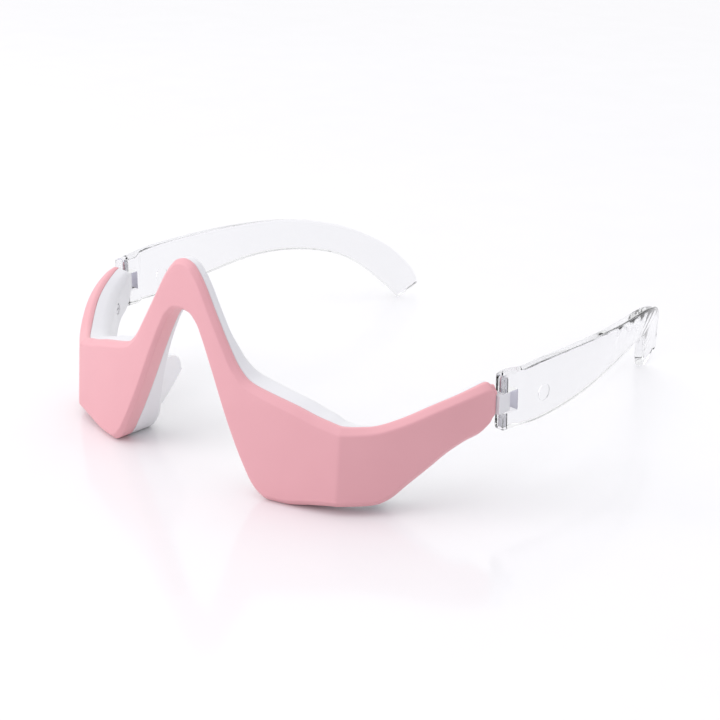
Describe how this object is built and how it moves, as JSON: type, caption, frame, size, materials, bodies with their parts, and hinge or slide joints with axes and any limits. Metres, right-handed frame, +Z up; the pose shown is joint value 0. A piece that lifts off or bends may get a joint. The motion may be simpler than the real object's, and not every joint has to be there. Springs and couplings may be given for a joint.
{
  "type": "eye massager mask",
  "caption": "Under-eye massager worn like spectacles: wrap-around cover with a peaked nose bridge, white back shell with skin contacts and lights, nose pads and clear folding temples.",
  "frame": {"origin": "centre of the overall box at the level of the surface it stands on", "axes": "+X to the wearer's left, the front faces -Y, +Z up"},
  "size_m": [0.1522, 0.157, 0.059],
  "materials": {
    "cover_pink": "soft-touch paint on moulded ABS, fine matte grain",
    "shell_white": "satin moulded ABS",
    "button_white": "satin moulded ABS",
    "clear": "clear polished polycarbonate",
    "silicone": "translucent white silicone rubber",
    "steel": "bright steel",
    "contact_steel": "polished skin contact",
    "red_lens": "red translucent lens",
    "circuit": "green solder mask",
    "chip_black": "black epoxy",
    "copper_film": "amber polyimide film over copper",
    "led_white": "clear epoxy over phosphor",
    "cell_foil": "laminated foil pouch"
  },
  "bodies": {
    "frame": {"battery": "cell_foil", "bridge_ribbon": "copper_film", "controller_chip": "chip_black", "electrode_inner_left": "contact_steel", "electrode_inner_right": "contact_steel", "electrode_outer_left": "contact_steel", "electrode_outer_right": "contact_steel", "front_shell": "cover_pink", "heating_film_left": "copper_film", "heating_film_right": "copper_film", "hinge_pin_left": "steel", "hinge_pin_right": "steel", "key_board": "circuit", "led_left_1": "led_white", "led_left_2": "led_white", "led_left_3": "led_white", "led_right_1": "led_white", "led_right_2": "led_white", "led_right_3": "led_white", "light_board_left": "circuit", "light_board_right": "circuit", "light_window_left": "red_lens", "light_window_right": "red_lens", "main_board": "circuit", "motor_case_left": "steel", "motor_case_right": "steel", "nose_pad_left": "silicone", "nose_pad_right": "silicone", "power_switch": "chip_black", "pulse_coil": "chip_black", "rear_shell": "shell_white", "shell_screw_front_left": "steel", "shell_screw_front_right": "steel", "shell_screw_rear_left": "steel", "shell_screw_rear_right": "steel", "status_light": "led_white", "usb_socket": "steel"},
    "temple_left": {"temple_left": "clear"},
    "temple_right": {"temple_right": "clear"},
    "power_button": {"power_button": "button_white"},
    "motor_weight_left": {"motor_weight_left": "steel"},
    "motor_weight_right": {"motor_weight_right": "steel"}
  },
  "joints": [
    {"name": "temple_left_fold", "type": "hinge", "parent": "frame", "child": "temple_left", "pos_m": [0.0725, -0.03302, 0.026], "axis": [0, 0, 1], "range_deg": [0, 88]},
    {"name": "temple_right_fold", "type": "hinge", "parent": "frame", "child": "temple_right", "pos_m": [-0.0725, -0.03302, 0.026], "axis": [0, 0, -1], "range_deg": [0, 76]},
    {"name": "power_press", "type": "slide", "parent": "frame", "child": "power_button", "axis": [0.7702, 0.6356, -0.0528], "range_m": [0, 0.0004], "stiffness_N_per_m": 3000},
    {"name": "motor_left_spin", "type": "hinge", "parent": "frame", "child": "motor_weight_left", "pos_m": [0.05325, -0.06215, 0.0128], "axis": [0.7271, 0.6841, -0.0568], "continuous": true},
    {"name": "motor_right_spin", "type": "hinge", "parent": "frame", "child": "motor_weight_right", "pos_m": [-0.05325, -0.06215, 0.0128], "axis": [0.7271, -0.6841, 0.0568], "continuous": true}
  ]
}
